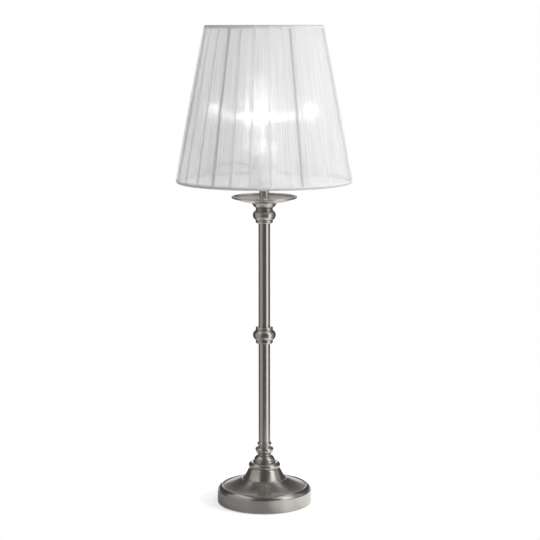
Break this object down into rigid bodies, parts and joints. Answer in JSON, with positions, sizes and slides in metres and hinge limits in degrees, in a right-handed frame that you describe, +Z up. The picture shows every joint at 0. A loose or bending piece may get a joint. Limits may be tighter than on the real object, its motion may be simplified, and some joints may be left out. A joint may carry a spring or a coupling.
{
  "type": "candlestick lamp",
  "caption": "Slim candlestick table lamp with a weighted round base, turned metal column, drip pan, candle bulb and a conical knife-pleated white organza shade that turns on its carrier.",
  "frame": {"origin": "centre of the underside, on the table", "axes": "+Z up along the column, front towards -Y, cord inlet at the back towards +Y"},
  "size_m": [0.2054, 0.2054, 0.56],
  "materials": {
    "satin_nickel": "satin nickel plate on spun and turned steel",
    "felt": "pressed felt",
    "cast_weight": "rough casting",
    "black_bush": "moulded",
    "zinc_steel": "zinc plated",
    "white_holder": "moulded",
    "contact_brass": "bright",
    "frame_wire": "dull grey coat on welded steel wire",
    "shade_cloth": "sheer white organza, knife pleated",
    "cap_metal": "bright drawn cap",
    "cap_insulator": "dark glass insulator",
    "bulb_glass": "clear",
    "lead_wire": "drawn wire"
  },
  "bodies": {
    "stand": {"felt_pad": "felt", "base_weight": "cast_weight", "base_shell": "satin_nickel", "cord_grommet": "black_bush", "base_washer": "zinc_steel", "base_lock_washer": "zinc_steel", "base_nut": "zinc_steel", "threaded_tube": "zinc_steel", "base_bell": "satin_nickel", "column_foot": "satin_nickel", "lower_tube": "satin_nickel", "middle_knop": "satin_nickel", "upper_tube": "satin_nickel", "top_knop": "satin_nickel", "pan_cup": "satin_nickel", "drip_pan": "satin_nickel", "holder_stem": "satin_nickel", "holder_cap": "white_holder", "holder_sleeve": "white_holder", "holder_core": "white_holder", "screw_shell": "contact_brass", "centre_contact": "contact_brass", "side_contact": "contact_brass", "terminal_screws": "contact_brass"},
    "shade": {"shade_bottom_ring": "frame_wire", "shade_top_ring": "frame_wire", "shade_struts": "frame_wire", "shade_cover": "shade_cloth", "carrier_ring": "frame_wire", "carrier_arms": "frame_wire"},
    "clamp_ring": {"shade_ring": "white_holder"},
    "bulb": {"bulb_cap": "cap_metal", "bulb_insulator": "cap_insulator", "bulb_contact": "cap_metal", "bulb_glass": "bulb_glass", "bulb_stem": "bulb_glass", "bulb_leads": "lead_wire", "bulb_filament": "lead_wire"}
  },
  "joints": [
    {"name": "bulb_lift", "type": "slide", "parent": "stand", "child": "bulb", "axis": [0, 0, 1], "range_m": [0, 0.17]},
    {"name": "shade_turn", "type": "hinge", "parent": "stand", "child": "shade", "pos_m": [0, 0, 0.3995], "axis": [0, 0, 1], "continuous": true},
    {"name": "ring_unscrew", "type": "slide", "parent": "stand", "child": "clamp_ring", "axis": [0, 0, 1], "range_m": [0, 0.012]}
  ]
}
